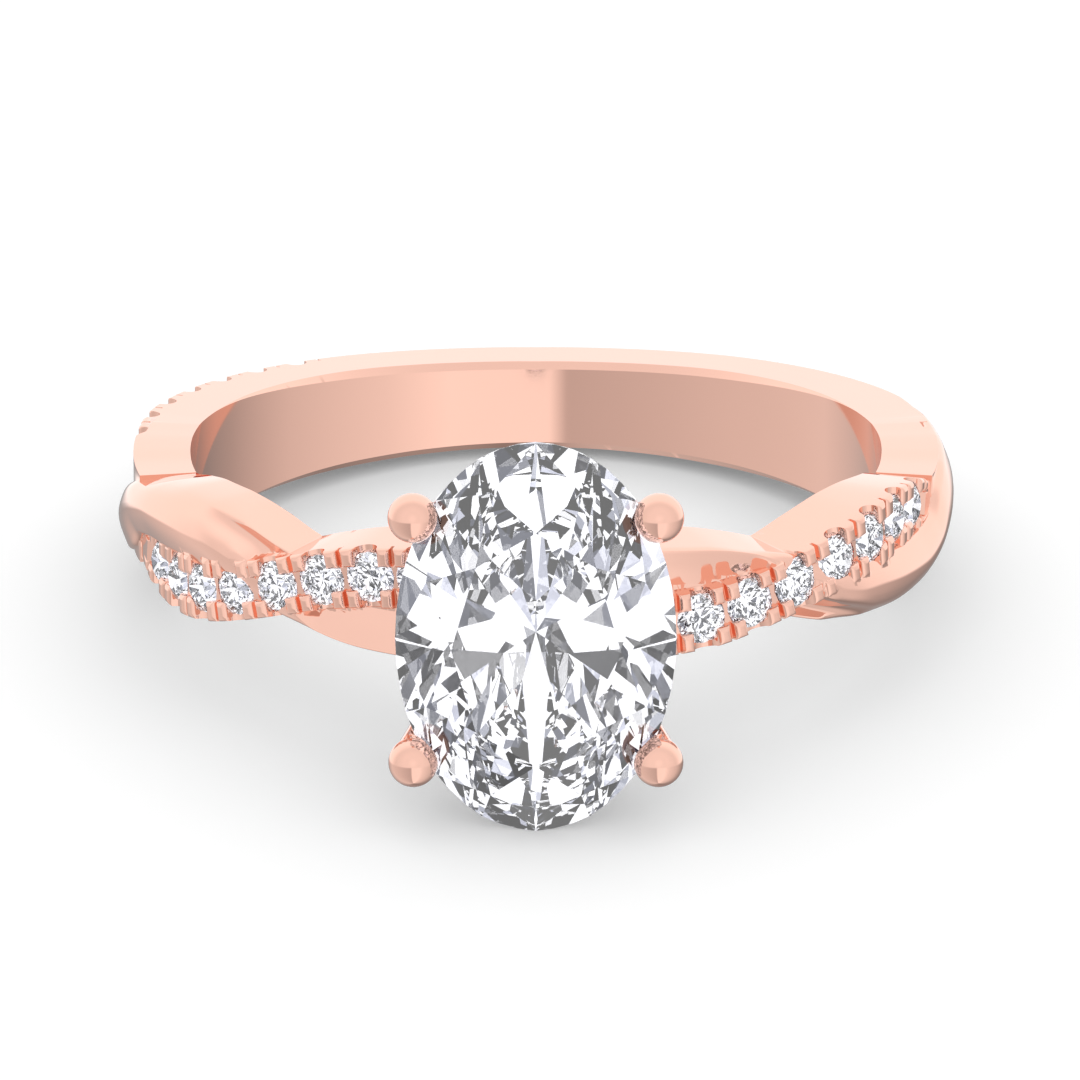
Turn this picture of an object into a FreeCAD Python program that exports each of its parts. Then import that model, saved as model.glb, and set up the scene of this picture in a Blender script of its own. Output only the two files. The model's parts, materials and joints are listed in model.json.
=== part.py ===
import FreeCAD, Part
import math
import os

from FreeCAD import Vector

# Twisted shank ring, lying on its side. Lengths are millimetres, angles are degrees.
# The ring is drawn about its own axis, Z, with the head towards -Y, and is laid down at the end.
# An angle along the shank runs from 0 under the head to 180 at the back, on the left side (-X).
# The right side is the left side turned by half a turn about Y.

# Finger hole and back of the band, whose inner layer starts as a low step behind the second crossing
HOLE_RADIUS = 8.5
BAND_RADIUS = 10.2
CORE_RADIUS = 9.9
CORE_START = 78.0
CORE_END = 106.0
BACK_START = 116.0
BAND_STEP = 4.0
INNER_BEVEL = 0.15
OUTER_BEVEL = 0.15
STRAND_ROOT_RADIUS = 8.2
STRAND_START = 6.0
STRAND_END = 117.0
SECTION_STEP = 5.0
CREST_ROUND = 0.12

# Saddle under the head
SADDLE_HALF_WIDTH = 1.66
SADDLE_RADIUS = 9.9
SADDLE_ANGLE = 10.0

# Oval stone: the girdle plane lies this far in front of the ring's axis
OVAL_WIDTH = 6.66
OVAL_LENGTH = 9.54
OVAL_GIRDLE_Y = 12.4
OVAL_CROWN = 1.05
OVAL_PAVILION = 2.75
OVAL_GIRDLE = 0.14
OVAL_TABLE = 0.60
OVAL_GIRDLE_SIDES = 48

# Facets of every stone: how far the stars reach from the table to the girdle, and where the lower halves end
STAR_REACH = 0.5
LOWER_HALF_REACH = 0.25

# Four prongs with ball tips
BALL_RADIUS = 0.59
BALL_X = 2.907
BALL_Y = 12.68
BALL_Z = 3.007
PRONG_RADIUS = 0.54
PRONG_FOOT_X = 1.2
PRONG_FOOT_Y = 9.1
PRONG_FOOT_Z = 1.15

# Row of small round stones
ROW_DIAMETER = 1.24
ROW_CROWN = 0.20
ROW_PAVILION = 0.54
ROW_GIRDLE = 0.05
ROW_TABLE = 0.56
ROW_GIRDLE_SIDES = 16
ROW_TABLE_BELOW_GRAIN = 0.04
ROW_FRONT = [16.2, 23.7, 31.2, 38.5, 45.8, 53.1, 60.9, 69.2]
ROW_BACK_FIRST = 98.7
ROW_BACK_PITCH = 7.35
ROW_BACK_COUNT = 7
STONE_GAP = 0.03

# Cuts that leave two grains on each side between neighbouring stones
NOTCH_WIDTH = 0.56
NOTCH_BELOW_GIRDLE = 0.12
CHANNEL_WIDTH = 0.56
WALL_BELOW_TABLE = 0.16
GROOVE_WIDTH = 0.08
GROOVE_DEPTH = 0.24
CUT_TOP = 0.6
CUT_PAST_EDGE = 0.95
BACK_CUT_INSIDE = 0.64

# Half width of the band on the left side, widest beside the second crossing and narrowest at the back
BAND_COLUMNS = ("angle", "half_width")
BAND = [
    (78, 1.10),
    (84, 1.15),
    (90, 1.25),
    (96, 1.32),
    (105, 1.35),
    (118, 1.35),
    (130, 1.32),
    (140, 1.28),
    (150, 1.235),
    (160, 1.18),
    (170, 1.14),
    (180, 1.12),
]
BACK_HALF_WIDTH = BAND[-1][1]

# Lying on the tip of the oval stone and the lower edge at the back
REST_ANGLE = math.degrees(math.atan2(OVAL_LENGTH / 2 - BACK_HALF_WIDTH, OVAL_GIRDLE_Y + BAND_RADIUS))

# Set strand on the left side: mid height, half width at the hole and at the face, radius of the face
SET_COLUMNS = ("angle", "middle", "inner_half", "outer_half", "face")
SET_STRAND = [
    (0, 0.64, 0.93, 0.75, 10.02),
    (14, 0.62, 0.93, 0.75, 10.06),
    (24, 0.51, 0.93, 0.75, 10.10),
    (31.5, 0.27, 0.92, 0.73, 10.16),
    (38.5, -0.055, 0.92, 0.73, 10.26),
    (45.5, -0.36, 0.94, 0.76, 10.31),
    (53, -0.60, 0.93, 0.80, 10.27),
    (61, -0.73, 0.82, 0.78, 10.08),
    (69, -0.70, 0.72, 0.70, 9.95),
    (76, -0.50, 0.63, 0.62, 9.88),
    (82, -0.22, 0.62, 0.60, 9.84),
    (88, 0.08, 0.66, 0.64, 9.84),
    (94, 0.27, 0.72, 0.70, 9.90),
    (100, 0.34, 0.75, 0.74, 10.00),
    (108, 0.355, 0.75, 0.745, 10.12),
    (118, 0.36, 0.75, 0.745, 10.18),
    (180, 0.36, 0.75, 0.745, 10.18),
]

# Plain strand on the left side: heights of its edges at the hole, then radius and height of the upper crest,
# the groove's bottom, the lower crest, the belly and the lower corner
PLAIN_COLUMNS = (
    "angle", "top", "bottom", "crest_r", "crest_z", "groove_r", "groove_z",
    "ridge_r", "ridge_z", "belly_r", "belly_z", "corner_r", "corner_z",
)
PLAIN_STRAND = [
    (0, 0.29, -1.57, 9.62, 0.10, 9.70, -0.64, 10.08, -1.34, 10.06, -1.36, 9.96, -1.40),
    (14, 0.31, -1.55, 9.62, 0.12, 9.70, -0.62, 10.08, -1.32, 10.06, -1.34, 9.96, -1.38),
    (24, 0.42, -1.44, 9.62, 0.23, 9.70, -0.51, 10.08, -1.21, 10.06, -1.23, 9.96, -1.27),
    (31.5, 0.65, -1.20, 9.64, 0.46, 9.66, -0.25, 10.10, -0.95, 10.08, -0.97, 9.98, -1.00),
    (38.5, 0.99, -0.87, 9.84, 0.85, 9.56, 0.40, 10.16, -0.08, 10.14, -0.40, 10.02, -0.72),
    (44.5, 1.32, -0.60, 9.78, 1.15, 9.55, 0.80, 10.24, 0.54, 10.24, 0.08, 10.04, -0.42),
    (50, 1.50, -0.42, 9.68, 1.36, 9.70, 1.06, 10.28, 0.84, 10.32, 0.40, 10.06, -0.22),
    (55, 1.565, -0.30, 9.58, 1.47, 9.84, 1.28, 10.18, 1.06, 10.34, 0.55, 10.06, -0.12),
    (61, 1.555, -0.20, 9.42, 1.50, 9.88, 1.35, 10.14, 1.12, 10.35, 0.62, 10.04, -0.06),
    (68, 1.42, -0.25, 9.32, 1.38, 9.90, 1.25, 10.16, 1.02, 10.35, 0.60, 10.02, -0.07),
    (75, 1.18, -0.42, 9.34, 1.15, 9.92, 1.03, 10.18, 0.80, 10.35, 0.36, 10.06, -0.22),
    (80, 1.02, -0.86, 9.38, 1.00, 9.92, 0.88, 10.18, 0.64, 10.35, 0.02, 10.04, -0.80),
    (86, 0.66, -1.09, 9.46, 0.64, 9.93, 0.53, 10.16, 0.30, 10.34, -0.30, 10.02, -1.09),
    (92, 0.22, -1.09, 9.66, 0.19, 9.94, 0.10, 10.14, -0.08, 10.30, -0.55, 10.00, -1.09),
    (98, -0.15, -1.09, 9.70, -0.17, 9.96, -0.22, 10.14, -0.34, 10.24, -0.68, 10.00, -1.09),
    (106, -0.33, -1.09, 9.80, -0.34, 10.00, -0.38, 10.16, -0.48, 10.19, -0.80, 10.02, -1.09),
    (118, -0.37, -1.09, 9.90, -0.38, 10.08, -0.42, 10.17, -0.52, 10.18, -0.92, 10.04, -1.09),
    (180, -0.37, -1.09, 9.90, -0.38, 10.08, -0.42, 10.17, -0.52, 10.18, -0.92, 10.04, -1.09),
]


def read_table(rows, columns, name, angle):
    """Value of one column at an angle, on a smooth curve that keeps within its rows."""
    at = columns.index(name)
    last = len(rows) - 2
    low = 0
    while low < last and rows[low + 1][0] < angle:
        low += 1
    x0, x1 = rows[low][0], rows[low + 1][0]
    y0, y1 = rows[low][at], rows[low + 1][at]
    step = (y1 - y0) / (x1 - x0)
    before = (y0 - rows[low - 1][at]) / (x0 - rows[low - 1][0]) if low else step
    after = (rows[low + 2][at] - y1) / (rows[low + 2][0] - x1) if low < last else step
    slope0 = flat_or_mean(before, step)
    slope1 = flat_or_mean(step, after)
    t = (angle - x0) / (x1 - x0)
    width = x1 - x0
    start = (2 * t ** 3 - 3 * t ** 2 + 1) * y0 + (t ** 3 - 2 * t ** 2 + t) * width * slope0
    end = (3 * t ** 2 - 2 * t ** 3) * y1 + (t ** 3 - t ** 2) * width * slope1
    return start + end


def flat_or_mean(one, other):
    """Slope at a row: level at a peak, and the harmonic mean elsewhere."""
    return 2 * one * other / (one + other) if one * other > 0 else 0.0


def band_half_width(angle):
    """Half width of the band at an angle of either side."""
    return read_table(BAND, BAND_COLUMNS, "half_width", min(angle, 360 - angle))


def spread(angle):
    """How much further from the middle the strands lie than they would on a band as narrow as at the back."""
    return max(band_half_width(angle) - BACK_HALF_WIDTH, 0.0) if angle > CORE_START else 0.0


def set_value(name, angle):
    shift = spread(angle) if name == "middle" else 0.0
    return read_table(SET_STRAND, SET_COLUMNS, name, angle) + shift


def plain_value(name, angle):
    """Value of the plain strand, whose upper and lower lines part where the band is wide."""
    value = read_table(PLAIN_STRAND, PLAIN_COLUMNS, name, angle)
    if name in ("top", "crest_z", "groove_z", "ridge_z"):
        return value + spread(angle)
    return value - spread(angle) if name in ("bottom", "corner_z") else value


def on_shank(angle, radius, height):
    """Point of the left side from its angle, radius and height."""
    turn = math.radians(angle)
    return Vector(-radius * math.sin(turn), -radius * math.cos(turn), height)


def set_section(angle):
    """Outline of the set strand: level flanks and a face that is straight across."""
    middle = set_value("middle", angle)
    inner = set_value("inner_half", angle)
    outer = set_value("outer_half", angle)
    face = set_value("face", angle)
    half = [(STRAND_ROOT_RADIUS, inner), (face - CREST_ROUND, outer), (face, outer - CREST_ROUND)]
    upper = [(radius, middle + height) for radius, height in half]
    lower = [(radius, middle - height) for radius, height in reversed(half)]
    return upper + lower


def plain_section(angle):
    """Outline of the plain strand: flanks, two crests, the groove between them, belly and lower corner."""
    outline = [(STRAND_ROOT_RADIUS, plain_value("top", angle))]
    for point in ("crest", "groove", "ridge", "belly", "corner"):
        outline.append((plain_value(point + "_r", angle), plain_value(point + "_z", angle)))
    outline.append((STRAND_ROOT_RADIUS, plain_value("bottom", angle)))
    return outline


def strand(section):
    """Solid through a strand's outlines at even steps along the shank."""
    count = math.ceil((STRAND_END - STRAND_START) / SECTION_STEP)
    wires = []
    for index in range(count + 1):
        angle = STRAND_START + (STRAND_END - STRAND_START) * index / count
        points = [on_shank(angle, radius, height) for radius, height in section(angle)]
        wires.append(Part.makePolygon(points + points[:1]))
    return Part.makeLoft(wires, True, False)


def band():
    """Inner layer of the band behind the strands, which swells to the full band at the back."""
    root = HOLE_RADIUS - STRAND_ROOT_RADIUS + INNER_BEVEL
    count = math.ceil((360 - 2 * CORE_START) / BAND_STEP)
    wires = []
    for index in range(count + 1):
        angle = CORE_START + (360 - 2 * CORE_START) * index / count
        width = band_half_width(angle)
        share = min(max((min(angle, 360 - angle) - CORE_END) / (BACK_START - CORE_END), 0.0), 1.0)
        radius = CORE_RADIUS + (BAND_RADIUS - CORE_RADIUS) * share
        half = [
            (STRAND_ROOT_RADIUS, width - root),
            (HOLE_RADIUS + INNER_BEVEL, width),
            (radius - OUTER_BEVEL, width),
            (radius, width - OUTER_BEVEL),
        ]
        outline = half + [(radius, -height) for radius, height in reversed(half)]
        points = [on_shank(angle, radius, height) for radius, height in outline]
        wires.append(Part.makePolygon(points + points[:1]))
    return Part.makeLoft(wires, True, True)


def saddle():
    """Block under the head that joins the four strand ends."""
    outline = [
        (STRAND_ROOT_RADIUS, SADDLE_HALF_WIDTH),
        (SADDLE_RADIUS, SADDLE_HALF_WIDTH),
        (SADDLE_RADIUS, -SADDLE_HALF_WIDTH),
        (STRAND_ROOT_RADIUS, -SADDLE_HALF_WIDTH),
    ]
    points = [on_shank(-SADDLE_ANGLE, radius, height) for radius, height in outline]
    face = Part.Face(Part.makePolygon(points + points[:1]))
    return face.revolve(Vector(0, 0, 0), Vector(0, 0, 1), -2 * SADDLE_ANGLE)


def prongs():
    """Four straight prongs from the saddle to ball tips at the corners of the oval stone."""
    pieces = []
    for side in (-1, 1):
        for end in (-1, 1):
            tip = Vector(side * BALL_X, -BALL_Y, end * BALL_Z)
            foot = Vector(side * PRONG_FOOT_X, -PRONG_FOOT_Y, end * PRONG_FOOT_Z)
            pieces.append(Part.makeSphere(BALL_RADIUS, tip))
            pieces.append(Part.makeCylinder(PRONG_RADIUS, (foot - tip).Length, tip, foot - tip))
    return pieces


def polar(radius, angle, height):
    return Vector(radius * math.cos(math.radians(angle)), radius * math.sin(math.radians(angle)), height)


def plane_through(one, two, three, gap):
    """Unit normal pointing away from the stone's middle, and distance with the gap added."""
    normal = (two - one).cross(three - one)
    normal.normalize()
    distance = normal.dot(one)
    if distance < 0:
        normal, distance = normal * -1, -distance
    return normal, distance + gap


def facet_planes(width, length, crown, pavilion, girdle, table, sides, gap=0.0):
    """Planes of a brilliant cut stretched to an oval: table, crown, girdle and pavilion facets.

    The girdle's mid plane is at height 0 and the table faces +Z.
    """
    def stretched(radius, angle, height):
        point = polar(radius, angle, height)
        return Vector(point.x * width / 2, point.y * length / 2, point.z)

    eighth, half_eighth = 45.0, 22.5
    edge = girdle / 2
    top = edge + crown
    bottom = -edge - pavilion
    fall = crown / (1 - table)
    chord = math.cos(math.radians(half_eighth))
    star_radius = (table * chord + (1 - table * chord) * STAR_REACH) / chord
    star_height = top - (star_radius * chord - table) * fall
    low_radius = LOWER_HALF_REACH
    low_height = bottom + low_radius * chord * pavilion
    planes = [(Vector(0, 0, 1), top + gap)]
    for index in range(8):
        here = eighth * index
        beside = here + half_eighth
        planes.append(plane_through(stretched(table, here, top), stretched(1, here, edge),
                                    stretched(star_radius, beside, star_height), gap))
        planes.append(plane_through(stretched(table, here, top), stretched(table, here + eighth, top),
                                    stretched(star_radius, beside, star_height), gap))
        planes.append(plane_through(stretched(0, 0, bottom), stretched(1, here, -edge),
                                    stretched(low_radius, beside, low_height), gap))
        for girdle_angle in (here, here + eighth):
            planes.append(plane_through(stretched(star_radius, beside, star_height),
                                        stretched(1, girdle_angle, edge), stretched(1, beside, edge), gap))
            planes.append(plane_through(stretched(low_radius, beside, low_height),
                                        stretched(1, girdle_angle, -edge), stretched(1, beside, -edge), gap))
    for index in range(sides):
        start, end = 360.0 * index / sides, 360.0 * (index + 1) / sides
        planes.append(plane_through(stretched(1, start, 0), stretched(1, end, 0), stretched(1, end, 1), gap))
    return planes


def clipped(faces, normal, distance):
    """Convex faces cut by a plane, with the cut closed by one new face."""
    tiny = 1e-7
    kept, rim = [], []
    for face in faces:
        points = []
        for index, here in enumerate(face):
            after = face[(index + 1) % len(face)]
            depth, depth_after = normal.dot(here) - distance, normal.dot(after) - distance
            if depth <= tiny:
                points.append(here)
            if (depth < -tiny and depth_after > tiny) or (depth > tiny and depth_after < -tiny):
                points.append(here + (after - here) * (depth / (depth - depth_after)))
        if len(points) > 2:
            kept.append(points)
            rim.extend(point for point in points if abs(normal.dot(point) - distance) < tiny * 10)
    corners = []
    for point in rim:
        if all((point - other).Length > tiny * 100 for other in corners):
            corners.append(point)
    if len(corners) < 3 or len(kept) == 0:
        return kept
    middle = Vector(0, 0, 0)
    for point in corners:
        middle += point
    middle = middle / len(corners)
    first = corners[0] - middle
    first.normalize()
    second = normal.cross(first)
    corners.sort(key=lambda point: math.atan2((point - middle).dot(second), (point - middle).dot(first)))
    for face in kept:
        if all(abs(normal.dot(point) - distance) < tiny * 10 for point in face):
            return kept
    kept.append(corners)
    return kept


def faceted_stone(planes):
    """Solid between planes, clipped from a cube."""
    size = 20.0
    corner = [(-1, -1), (1, -1), (1, 1), (-1, 1)]
    faces = []
    for sign in (-1, 1):
        faces.append([Vector(a * size, b * size, sign * size) for a, b in corner][::sign])
        faces.append([Vector(sign * size, a * size, b * size) for a, b in corner][::sign])
        faces.append([Vector(b * size, sign * size, a * size) for a, b in corner][::sign])
    for normal, distance in planes:
        faces = clipped(faces, normal, distance)
    shell = Part.makeShell([Part.Face(Part.makePolygon(face + face[:1])) for face in faces])
    shell.sewShape(1e-5)
    solid = Part.makeSolid(Part.makeShell(shell.Faces))
    return solid if solid.Volume > 0 else solid.reversed()


def row_frame(angle, radius):
    """Placement on the set strand: X along the strand, Y across it, Z outward."""
    step = 0.5
    turn = math.radians(angle)
    rise = set_value("middle", angle + step) - set_value("middle", angle - step)
    outward = Vector(-math.sin(turn), -math.cos(turn), 0)
    along = Vector(-math.cos(turn), math.sin(turn), rise / (math.radians(2 * step) * radius))
    along.normalize()
    across = outward.cross(along)
    place = on_shank(angle, radius, set_value("middle", angle))
    return FreeCAD.Placement(FreeCAD.Matrix(
        along.x, across.x, outward.x, place.x,
        along.y, across.y, outward.y, place.y,
        along.z, across.z, outward.z, place.z,
        0, 0, 0, 1))


def placed(shape, placement):
    copy = shape.copy()
    copy.Placement = placement.multiply(copy.Placement)
    return copy


def girdle_radius(angle):
    """Radius at which a row stone's girdle lies."""
    return set_value("face", angle) - ROW_TABLE_BELOW_GRAIN - ROW_CROWN - ROW_GIRDLE / 2


def back_angles():
    return [ROW_BACK_FIRST + ROW_BACK_PITCH * index for index in range(ROW_BACK_COUNT)]


def row_angles():
    return ROW_FRONT + back_angles()


def row_stone_planes(gap):
    return facet_planes(ROW_DIAMETER, ROW_DIAMETER, ROW_CROWN, ROW_PAVILION, ROW_GIRDLE, ROW_TABLE,
                        ROW_GIRDLE_SIDES, gap)


def seat():
    """Space that a row stone and its clear table take out of the metal."""
    open_top = Part.makeCylinder(ROW_DIAMETER / 2 * ROW_TABLE + STONE_GAP, CUT_TOP)
    return faceted_stone(row_stone_planes(STONE_GAP)).fuse(open_top)


def notch(low, high):
    """Round-bottomed cut across the strand beside a stone."""
    radius = NOTCH_WIDTH / 2
    bottom = -NOTCH_BELOW_GIRDLE + radius
    round_part = Part.makeCylinder(radius, high - low, Vector(0, low, bottom), Vector(0, 1, 0))
    box = Part.makeBox(NOTCH_WIDTH, high - low, CUT_TOP, Vector(-radius, low, bottom))
    return round_part.fuse(box)


def grain_cuts(low, high):
    """Groove between two grains, and channel that leaves only a low wall between two stones."""
    crown_top = ROW_GIRDLE / 2 + ROW_CROWN
    groove = Part.makeBox(GROOVE_WIDTH, high - low, CUT_TOP,
                          Vector(-GROOVE_WIDTH / 2, low, crown_top - GROOVE_DEPTH))
    channel = Part.makeBox(ROW_DIAMETER, CHANNEL_WIDTH, CUT_TOP,
                           Vector(-ROW_DIAMETER / 2, -CHANNEL_WIDTH / 2, crown_top - WALL_BELOW_TABLE))
    return groove.fuse(channel)


def row_cuts(stone_angles, low, high):
    """Notches beside the stones of one stretch, and the cuts between its stones and past its two ends."""
    step_in = stone_angles[1] - stone_angles[0]
    step_out = stone_angles[-1] - stone_angles[-2]
    between = [(one + two) / 2 for one, two in zip(stone_angles, stone_angles[1:])]
    between = [stone_angles[0] - step_in / 2] + between + [stone_angles[-1] + step_out / 2]
    cuts = [placed(notch(low, high), row_frame(angle, girdle_radius(angle))) for angle in stone_angles]
    return cuts + [placed(grain_cuts(low, high), row_frame(angle, girdle_radius(angle))) for angle in between]


def half_turn(shape):
    """The same shape on the other side of the ring."""
    return shape.rotated(Vector(0, 0, 0), Vector(0, 1, 0), 180)


def ring_mount(seats, oval_seat):
    """All the metal as one solid."""
    set_strand = strand(set_section).cut(row_cuts(ROW_FRONT, -CUT_PAST_EDGE, CUT_PAST_EDGE))
    left = set_strand.fuse(strand(plain_section))
    metal = saddle().fuse([left, half_turn(left), band()] + prongs())
    back_cuts = row_cuts(back_angles(), -CUT_PAST_EDGE, BACK_CUT_INSIDE)
    back_cuts += [half_turn(shape) for shape in back_cuts]
    finger_hole = Part.makeCylinder(HOLE_RADIUS, 6, Vector(0, 0, -3))
    metal = metal.cut(back_cuts).cut(seats + [finger_hole, oval_seat])
    return max(metal.Solids, key=lambda solid: solid.Volume)


def laid_down(shape, drop):
    """Shape tipped to its rest on a level surface and moved to the part's origin."""
    tipped = shape.rotated(Vector(0, 0, 0), Vector(1, 0, 0), -REST_ANGLE)
    return tipped.translated(drop)


def main():
    os.makedirs("parts", exist_ok=True)
    seat_shape = seat()
    seats = [placed(seat_shape, row_frame(angle, girdle_radius(angle))) for angle in row_angles()]
    seats += [half_turn(shape) for shape in seats]
    stone_shape = faceted_stone(row_stone_planes(0.0))
    stones = [placed(stone_shape, row_frame(angle, girdle_radius(angle))) for angle in row_angles()]
    stones += [half_turn(shape) for shape in stones]
    head = FreeCAD.Placement(Vector(0, -OVAL_GIRDLE_Y, 0), FreeCAD.Rotation(Vector(1, 0, 0), 90))
    oval_size = (OVAL_WIDTH, OVAL_LENGTH, OVAL_CROWN, OVAL_PAVILION,
                 OVAL_GIRDLE, OVAL_TABLE, OVAL_GIRDLE_SIDES)
    oval = placed(faceted_stone(facet_planes(*oval_size)), head)
    oval_seat = placed(faceted_stone(facet_planes(*oval_size, gap=STONE_GAP)), head)
    nodes = {"ring_mount": ring_mount(seats, oval_seat), "center_stone": oval}
    for index, stone in enumerate(stones):
        nodes["row_stone_%02d" % (index + 1)] = stone
    bounds = FreeCAD.BoundBox()
    for shape in nodes.values():
        bounds.add(laid_down(shape, Vector(0, 0, 0)).optimalBoundingBox(True, False))
    drop = Vector(-bounds.Center.x, -bounds.Center.y, -bounds.ZMin)
    for name, shape in nodes.items():
        solid = laid_down(shape, drop)
        solid.exportStep("parts/%s.step" % name)
        print(name, len(shape.Solids), solid.isValid(), round(solid.Volume, 4), len(solid.Faces))
    print("rest angle %.3f, moved by %s" % (REST_ANGLE, drop))


main()
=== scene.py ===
import json
import math

import bpy
from bpy.props import FloatProperty, FloatVectorProperty, PointerProperty
from mathutils import Matrix, Vector


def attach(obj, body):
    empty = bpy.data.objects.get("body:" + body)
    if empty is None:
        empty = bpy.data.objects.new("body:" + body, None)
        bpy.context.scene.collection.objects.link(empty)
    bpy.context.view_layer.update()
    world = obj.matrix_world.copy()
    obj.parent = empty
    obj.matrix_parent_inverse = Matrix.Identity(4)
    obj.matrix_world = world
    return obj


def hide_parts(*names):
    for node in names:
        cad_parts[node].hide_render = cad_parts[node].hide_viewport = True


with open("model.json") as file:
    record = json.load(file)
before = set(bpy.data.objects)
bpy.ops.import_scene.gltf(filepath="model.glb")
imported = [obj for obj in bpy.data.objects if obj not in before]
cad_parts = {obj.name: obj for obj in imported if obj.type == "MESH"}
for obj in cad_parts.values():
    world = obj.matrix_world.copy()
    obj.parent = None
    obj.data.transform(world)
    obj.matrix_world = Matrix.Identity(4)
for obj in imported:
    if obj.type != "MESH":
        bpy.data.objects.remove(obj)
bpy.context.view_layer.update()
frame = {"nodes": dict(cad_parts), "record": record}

# Twisted shank ring. Shapes are worked out in millimetres in the ring's own frame and written in metres.
# In that frame Z is the ring's axis and the head looks towards -Y. Angles along the shank run from 0 under
# the head to 180 at the back on the left side. The right side is the left side turned by half a turn about Y.

bl_info = {
    "name": "Twisted Shank Ring",
    "version": (1, 0, 0),
    "blender": (4, 5, 0),
    "location": "View3D > Sidebar > Ring",
    "description": "Builds a twisted shank ring with an oval stone, its finishes and its stage",
    "category": "Object",
}

MM = 0.001

# The ring's place, read from the frame: its centre, and how far its front is raised
HOLE = next(mount for mount in frame["record"]["mounts"] if mount["name"] == "finger_hole")
RING_CENTRE = Vector(HOLE["pos_m"])
RING_AXIS = Vector(HOLE["axis"]).normalized()
REST_ANGLE = math.atan2(RING_AXIS.y, RING_AXIS.z)
RING_TO_WORLD = Matrix.Translation(RING_CENTRE) @ Matrix.Rotation(-REST_ANGLE, 4, "X") @ Matrix.Scale(MM, 4)

# Finger hole and band
HOLE_RADIUS = HOLE["dims"]["r_mm"]
ROOT_RADIUS = HOLE_RADIUS - 0.3
BAND_RADIUS = 10.2
CORE_RADIUS = 9.9
CORE_START = 78.0
LOWER_SWELL = (102.0, 126.0)
FULL_BAND_START = 148.0
LOWER_OVERLAP = 0.03
EDGE_BEVEL = 0.15
INNER_BEVEL = 0.17
BEVEL_FADE = (104.0, 150.0)
STRAND_START = 6.0
STRAND_STEP = 0.6
ARC_STEPS = 5

# Saddle, prongs and ball tips
SADDLE_HALF_WIDTH = 1.66
SADDLE_RADIUS = 9.9
SADDLE_ANGLE = 10.0
BALL_CENTRE = (2.907, -12.68, 3.007)
PRONG_FOOT = (1.2, -9.1, 1.15)

# Row of small stones on the left side, and the grains between them
ROW_FRONT = [16.2, 23.7, 31.2, 38.5, 45.8, 53.1, 60.9, 69.2]
ROW_BACK = [98.7 + 7.35 * index for index in range(7)]
TABLE_BELOW_GRAIN = 0.04
ROW_CROWN = 0.20
ROW_GIRDLE = 0.05
NOTCH_RADIUS = 0.28
NOTCH_BELOW_GIRDLE = 0.12
CHANNEL_HALF = 0.28
WALL_BELOW_TABLE = 0.16
GROOVE_HALF = 0.04
GROOVE_DEPTH = 0.24
GRAIN_ROUND = 0.13
CREST_ROUND = 0.13
SEAT_SCALE = 1.04

# Set strand on the left side: mid height, half width at the hole and at the face, radius of the face
SET_COLUMNS = ("angle", "middle", "inner_half", "outer_half", "face")
SET_STRAND = [
    (0, 0.64, 0.93, 0.75, 10.02),
    (14, 0.62, 0.93, 0.75, 10.06),
    (24, 0.51, 0.93, 0.75, 10.10),
    (31.5, 0.27, 0.92, 0.73, 10.16),
    (38.5, -0.055, 0.92, 0.73, 10.26),
    (45.5, -0.36, 0.94, 0.76, 10.31),
    (53, -0.60, 0.93, 0.80, 10.27),
    (61, -0.73, 0.82, 0.78, 10.08),
    (69, -0.70, 0.72, 0.70, 9.95),
    (76, -0.50, 0.63, 0.62, 9.88),
    (82, -0.22, 0.62, 0.60, 9.84),
    (88, 0.08, 0.66, 0.64, 9.84),
    (94, 0.27, 0.72, 0.70, 9.90),
    (100, 0.34, 0.75, 0.74, 10.00),
    (108, 0.362, 0.775, 0.775, 10.12),
    (118, 0.366, 0.775, 0.775, 10.18),
    (180, 0.366, 0.775, 0.775, 10.18),
]

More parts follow.
